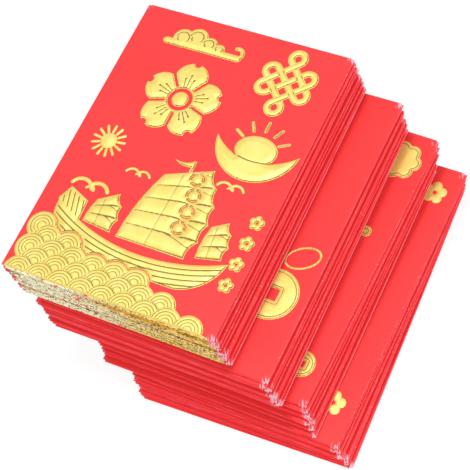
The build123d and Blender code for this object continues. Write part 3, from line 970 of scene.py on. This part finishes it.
def sail_panel(x, y, lower, upper):
    """Where a sail's panel is, how far it bellies out, and its batten and leech creases."""
    over = from_line(x, y, *lower)
    under = -from_line(x, y, *upper)
    from_luff = -from_line(x, y, lower[0], upper[0])
    from_leech = from_line(x, y, lower[1], upper[1])
    inside = (over > 0) & (under > 0) & (from_luff > 0) & (from_leech > 0)
    across = from_luff / np.maximum(from_luff + from_leech, hair_breadth)
    up = over / np.maximum(over + under, hair_breadth)
    belly = belly_height * np.sin(math.pi * np.clip(up, 0, 1)) ** belly_fullness
    belly = belly * (belly_luff_share + (1 - belly_luff_share) * across)
    batten = groove(over, batten_width + batten_spread * across)
    drop = tuck_drop_share * (over + under) * step(*tuck_slope_shares, across)
    tuck = groove(under - drop, tuck_width) * step(*tuck_start_shares, across)
    return inside, np.where(inside, belly, 0), np.where(inside, np.maximum(batten, tuck_share * tuck), 0)


def hull_lines(x, y):
    """Planks that follow the sheer, and upright boards on the poop."""
    middle, radius = circle_through(*[on_face(*shares) for shares in sheer_shares])
    below = np.hypot(x - middle[0], y - middle[1]) - radius
    half_plank = plank_width / 2
    planks = groove((below + half_plank) % plank_width - half_plank, plank_line_width) * (below > half_plank)
    first_luff = on_face(*sail_shares[0][0])[0]
    poop = (below < 0) & (x < first_luff)
    boards = groove((x + board_lean * y) % plank_width - half_plank, board_line_width) * poop
    return planks, boards


coin_line_inset = 1.05
coin_line_width = 0.4
coin_line_share = 0.8
coin_field_insets = (1.0, 1.5)
weave_rate = 5.2
weave_depth = 0.05
weave_shade_share = 0.22


def coin_relief(x, y, inset):
    """A coin's raised rim round its lower field, with a fine weave."""
    height, crease = puffed(inset)
    rim_line = groove(inset - coin_line_inset, coin_line_width)
    height, crease = scored(height, crease, rim_line * coin_line_share)
    weave = (2 + np.sin(x * weave_rate) + np.sin(y * weave_rate)) / 4 * step(*coin_field_insets, inset)
    return height - weave_depth * weave, np.maximum(crease, weave_shade_share * weave)


cloud_shares = (-0.16, 0.41)
cloud_reach = 0.19 * envelope_width
cloud_lobe_shares = [
    # lobe across, lobe along, radius
    (-0.55, 0.0, 0.25),
    (-0.22, 0.09, 0.26),
    (0.12, 0.0, 0.2),
    (0.4, -0.05, 0.14),
]
curl_share = 0.58
curl_growth_share = 0.1
curl_gap = (-2.2, -0.6)
curl_width = 0.32
blossom_shares = (-0.135, 0.2)
blossom_reach = 0.185 * envelope_width
petals = 5
stamen_lean = 0.2
stamen_root_share = 0.33
middle_tip_share = 0.66
outer_tip_share = 0.56
stamen_width = 0.28
stamen_dot = 0.62
knot_shares = (0.27, 0.355)
knot_reach = 0.18 * envelope_width
knot_pitch = 0.33 * knot_reach
knot_band = 0.17 * knot_reach
knot_outer_band = 1
ingot_shares = (0.29, 0.085)
ingot_reach = 0.19 * envelope_width
ingot_horn_share = 0.3
ingot_brim_share = -0.12
ingot_dome_share = 0.52
brim_width = 0.36


def ornament_relief(x, y, inset):
    """Curls in the cloud, stamens in the blossom, the knot's weave and the ingot's brim."""
    edge = knot_weave(x, y, inset)
    height, crease = puffed(edge)
    lines = np.maximum.reduce([cloud_curls(x, y), blossom_stamens(x, y), ingot_brim(x, y)])
    return scored(height, crease, lines)


def cloud_curls(x, y):
    """An open ring in each lobe of the cloud."""
    lines = np.zeros_like(x)
    for x_share, y_share, radius_share in cloud_lobe_shares:
        run_x = x - cloud_shares[0] * envelope_width - x_share * cloud_reach
        run_y = y - cloud_shares[1] * envelope_height - y_share * cloud_reach
        turn = np.arctan2(run_y, run_x)
        spiral = radius_share * cloud_reach * (curl_share + curl_growth_share * turn / math.pi)
        drawn = (turn < curl_gap[0]) | (turn > curl_gap[1])
        ring = groove(np.hypot(run_x, run_y) - spiral, curl_width) * drawn
        lines = np.maximum(lines, ring)
    return lines


def blossom_stamens(x, y):
    """Three stamens on each petal, each with a dot at its tip."""
    run_x = x - blossom_shares[0] * envelope_width
    run_y = y - blossom_shares[1] * envelope_height
    out = np.hypot(run_x, run_y)
    turn = np.arctan2(run_x, run_y)
    lines = np.zeros_like(x)
    for petal in range(petals):
        for stamen in (-1, 0, 1):
            bearing = 2 * math.pi * petal / petals + stamen * stamen_lean
            aside = out * np.sin(turn - bearing)
            ahead = out * np.cos(turn - bearing)
            tip = (outer_tip_share if stamen else middle_tip_share) * blossom_reach
            stalk = groove(aside, stamen_width) * (ahead > stamen_root_share * blossom_reach) * (ahead < tip)
            dot = groove(np.hypot(aside, ahead - tip), stamen_dot)
            lines = np.maximum(lines, np.maximum(stalk, dot))
    return lines


def knot_weave(x, y, inset):
    """Distance inside the band that lies on top, so that the knot's bands pass over and under."""
    run_x = x - knot_shares[0] * envelope_width
    run_y = y - knot_shares[1] * envelope_height
    u = (run_x - run_y) / math.sqrt(2)
    v = (run_x + run_y) / math.sqrt(2)
    half = (knot_outer_band + 0.5) * knot_pitch
    column = np.clip(np.round(u / knot_pitch), -knot_outer_band, knot_outer_band)
    row = np.clip(np.round(v / knot_pitch), -knot_outer_band, knot_outer_band)
    in_column = knot_band / 2 - abs(u - column * knot_pitch)
    in_row = knot_band / 2 - abs(v - row * knot_pitch)
    column_on_top = (column + row) % 2 == 0
    lattice = (abs(u) < half) & (abs(v) < half)
    crossing = lattice & (in_column > 0) & (in_row > 0)
    over = np.where(column_on_top, in_column, in_row)
    return np.where(crossing, np.maximum(over, 0), inset)


def ingot_brim(x, y):
    """The line where the ingot's dome stands out of its boat."""
    middle_x, middle_y = on_face(*ingot_shares)
    horn_y = middle_y + ingot_reach * ingot_horn_share
    brim_y = middle_y + ingot_reach * ingot_brim_share
    horns = [(middle_x - ingot_reach, horn_y), (middle_x, brim_y), (middle_x + ingot_reach, horn_y)]
    centre, radius = circle_through(*horns)
    brim = groove(np.hypot(x - centre[0], y - centre[1]) - radius, brim_width)
    return brim * (abs(x - middle_x) < ingot_dome_share * ingot_reach) * (y < horn_y)


flat_enough = 0.99
level_slack = 0.02
ray_height = 10.0
edge_clearance = 0.4 * outline_step
key_digits = 4
merge_distance = 0.0001


def foil_outline(node, sheet):
    """Upper faces of a foil node on its envelope, in millimetres: a tree for rays, and its edges."""
    shape = bmesh.new()
    shape.from_mesh(frame["nodes"][node].data)
    bmesh.ops.remove_doubles(shape, verts=shape.verts, dist=weld)
    shape.transform(Matrix.Scale(1 / mm, 4) @ sheet.place.inverted())
    least = max(v.co.z for v in shape.verts) - level_slack
    other = [f for f in shape.faces if f.normal.z < flat_enough or f.calc_center_median().z < least]
    bmesh.ops.delete(shape, geom=other, context="FACES")
    tree = BVHTree.FromBMesh(shape)
    runs = [[v.co.copy() for v in e.verts] for e in shape.edges if e.is_boundary]
    shape.free()
    return tree, runs


def outline_points(runs):
    """Points along the outline, close enough for the relief, and the pairs that its edges join."""
    points = []
    pairs = []
    numbers = {}
    for start, end in runs:
        parts = max(1, math.ceil((end - start).length / outline_step))
        chain = []
        for part in range(parts + 1):
            spot = start.lerp(end, part / parts)
            key = (round(spot.x, key_digits), round(spot.y, key_digits))
            if key not in numbers:
                numbers[key] = len(points)
                points.append(Vector(key))
            chain.append(numbers[key])
        pairs += [pair for pair in zip(chain, chain[1:]) if pair[0] != pair[1]]
    return points, pairs


def covers(tree, x, y):
    return tree.ray_cast(Vector((x, y, ray_height)), Vector((0, 0, -1)))[0] is not None


def inner_points(tree, edge_tree, points):
    """Staggered grid of points inside the outline, clear of its edge."""
    low_x, high_x = min(p.x for p in points), max(p.x for p in points)
    low_y, high_y = min(p.y for p in points), max(p.y for p in points)
    row_step = grid_step * math.sqrt(3) / 2
    inner = []
    for row in range(1, int((high_y - low_y) / row_step) + 1):
        y = low_y + row * row_step
        for column in range(int((high_x - low_x) / grid_step) + 1):
            x = low_x + (column + row % 2 / 2) * grid_step
            if covers(tree, x, y) and edge_tree.find((x, y, 0))[2] > edge_clearance:
                inner.append(Vector((x, y)))
    return inner


def lit_rim(x, y, inset, edge_spots):
    """Share of its painted crease shade that the foil loses where its rim leans to the light."""
    aside = np.array([spot.x for spot in edge_spots]) - x
    behind = np.array([spot.y for spot in edge_spots]) - y
    lean = (shade_side[0] * aside + shade_side[1] * behind) / np.maximum(inset, hair_breadth)
    rim = 1 - step(rim_width + wall_width, rim_width + 2 * wall_width, inset)
    return rim * lit_rim_share * (1 - step(*shade_lean_range, lean))


def emboss(name, node, sheet, relief, share=1.0):
    """Foil with its relief: the node's outline filled with fine triangles and pressed up from the paper."""
    tree, runs = foil_outline(node, sheet)
    points, pairs = outline_points(runs)
    edge_tree = KDTree(len(points))
    for number, point in enumerate(points):
        edge_tree.insert((point.x, point.y, 0), number)
    edge_tree.balance()
    inner = inner_points(tree, edge_tree, points)
    filled = delaunay_2d_cdt(points + inner, pairs, [], 0, merge_distance)
    spots, faces = filled[0], filled[2]
    middles = [sum((spots[n] for n in face), Vector((0, 0))) / 3 for face in faces]
    faces = [face for face, middle in zip(faces, middles) if covers(tree, *middle)]
    x = np.array([p.x for p in spots])
    y = np.array([p.y for p in spots])
    nearest = [edge_tree.find((p.x, p.y, 0)) for p in spots]
    inset = np.array([found[2] for found in nearest])
    height, crease = relief(x, y, inset)
    # Painted shade in the grooves and on the walls, left off the rim where it leans to the light
    crease = crease * (1 - lit_rim(x, y, inset, [found[0] for found in nearest]))
    level = sheet.thickness / mm + foil_thickness + share * height
    shape = bpy.data.meshes.new(name)
    shape.from_pydata(np.column_stack([x, y, level]) * mm, [], faces)
    piece = bpy.data.objects.new(name, shape)
    bpy.context.scene.collection.objects.link(piece)
    keep_values(piece, "crease", crease)
    turn_down_rim(piece, sheet)
    shape.materials.append(foil)
    return piece


def turn_down_rim(piece, sheet):
    """Close the foil's edge down to the paper and drop loose points."""
    shape = bmesh.new()
    shape.from_mesh(piece.data)
    bmesh.ops.delete(shape, geom=[v for v in shape.verts if not v.link_faces], context="VERTS")
    if sum(f.normal.z for f in shape.faces) < 0:
        bmesh.ops.reverse_faces(shape, faces=shape.faces)
    for face in shape.faces:
        face.smooth = True
    rim = bmesh.ops.extrude_edge_only(shape, edges=[e for e in shape.edges if e.is_boundary])
    for part in rim["geom"]:
        if isinstance(part, bmesh.types.BMVert):
            part.co.z = sheet.thickness
    shape.to_mesh(piece.data)
    shape.free()


def flattened(piece, sheet):
    """Copy of a foil with its relief pressed low, for an envelope with others on top."""
    copy = copy_piece(piece, f"bundle_1_{piece.name}")
    base = sheet.thickness + foil_thickness * mm
    for point in copy.data.vertices:
        if point.co.z > base:
            point.co.z = base + low_relief_share * (point.co.z - base)
    return copy


foil_reliefs = {
    "foil_sea": sea_relief,
    "foil_ship": ship_relief,
    "foil_sun_and_birds": plain_relief,
    "foil_ornaments": ornament_relief,
}
lower_reliefs = {"bundle_2": coin_relief, "bundle_3": coin_relief, "bundle_4": plain_relief}


def stamp_fronts(sheet):
    """Foil on the top envelope, on the one below it, and on the strips of the lower bundles that show."""
    below = stacked_sheet("bundle_1_envelope_02")
    for node, relief in foil_reliefs.items():
        piece = emboss(f"{node}_relief", node, sheet, relief)
        seat(flattened(piece, sheet), below, "bundle_1", "gold_foil")
        seat(piece, sheet, "top_pocket", "gold_foil", node)
    for body, relief in lower_reliefs.items():
        lower = stacked_sheet(f"{body}_envelope_01")
        piece = emboss(f"{body}_foil_relief", f"{body}_foil", lower, relief, low_relief_share)
        seat(piece, lower, body, "gold_foil", f"{body}_foil")


# Stage, light and camera
table_size = 6.0
table_colour = colour(0.8, 0.8, 0.8)
table_shade = colour(0.16, 0.16, 0.16)
table_glow = 0.87
sky_light = 0.64
dim_side = (0.72, -0.69, 0.0)
dim_start = 0.45
dim_end = 0.95
dim_share = 0.3


def make_floor():
    """White table that shows only the pile's faint shadow."""
    bpy.ops.object.select_all(action="DESELECT")
    bpy.ops.mesh.primitive_plane_add(size=table_size, location=(0, 0, cad_low.z))
    floor = bpy.context.object
    floor.name = "white_table"
    finish = new_finish("white_table")
    finish.set(base_color=table_colour, roughness=0.9)
    seen = finish.node("ShaderNodeLightPath", {}, {}, "Is Camera Ray")
    shade = finish.node("ShaderNodeBsdfDiffuse", {}, {"Color": table_shade})
    glow = finish.node("ShaderNodeEmission", {}, {"Color": white, "Strength": table_glow})
    lit = finish.node("ShaderNodeAddShader", {}, {0: shade, 1: glow})
    finish.blend_shaders("Material Output", seen, lit)
    floor.data.materials.append(finish.owner)


def make_sky():
    """White where it is seen, softer as a light, and dimmed on the front right where it is mirrored."""
    world = bpy.data.worlds.new("studio")
    bpy.context.scene.world = world
    sky = Finish(world, "Background")
    sky.set(color=white, strength=sky_light)
    seen = sky.node("ShaderNodeLightPath", {}, {}, "Is Camera Ray")
    glossy = sky.node("ShaderNodeLightPath", {}, {}, "Is Glossy Ray")
    through = sky.node("ShaderNodeLightPath", {}, {}, "Is Transmission Ray")
    where = sky.node("ShaderNodeTexCoord", {}, {}, "Generated")
    toward = sky.node("ShaderNodeVectorMath", {"operation": "DOT_PRODUCT"}, {0: where, 1: dim_side}, "Value")
    ends = {"From Min": dim_start, "From Max": dim_end, "To Min": 1.0, "To Max": dim_share}
    dim = sky.node("ShaderNodeMapRange", {}, {"Value": toward, **ends})
    bright = sky.node("ShaderNodeBackground", {}, {"Color": white, "Strength": dim.either(seen)})
    sky.blend_shaders("World Output", seen.either(glossy).either(through), bright)


def make_lamp(name, place, size, power):
    """Soft square lamp aimed at the pile."""
    lamp = bpy.data.lights.new(name, "AREA")
    lamp.size = size
    lamp.energy = power
    made = bpy.data.objects.new(name, lamp)
    made.location = place
    aim = (cad_low + cad_high) / 2 - Vector(place)
    made.rotation_euler = aim.to_track_quat("-Z", "Y").to_euler()
    bpy.context.scene.collection.objects.link(made)


camera_lens = 115.01
camera_sensor = 36.0
camera_nearest = 0.01
camera_place = Vector((0.19203, -0.18085, 0.46994))
camera_aim = Vector((-0.37981, 0.34861, -0.85686))
camera_up = Vector((-0.29009, 0.83467, 0.46816))


def make_camera():
    lens = bpy.data.cameras.new("camera")
    lens.lens = camera_lens
    lens.sensor_width = camera_sensor
    lens.clip_start = camera_nearest
    made = bpy.data.objects.new("camera", lens)
    right = camera_aim.cross(camera_up).normalized()
    up = right.cross(camera_aim).normalized()
    turn = Matrix((right, up, -camera_aim.normalized())).transposed()
    made.matrix_world = Matrix.Translation(camera_place) @ turn.to_4x4()
    bpy.context.scene.collection.objects.link(made)
    bpy.context.scene.camera = made


top = top_sheet()
stack_bundles()
make_top_pocket(top)
make_top_flap(top)
stamp_fronts(top)
make_floor()
make_sky()
make_lamp("key_lamp", place=(-0.15, 0.11, 1.15), size=0.2, power=5.9)
make_lamp("side_lamp", place=(0.95, -0.5, 0.45), size=0.4, power=5.6)
make_camera()
bpy.context.scene.view_settings.view_transform = "Standard"
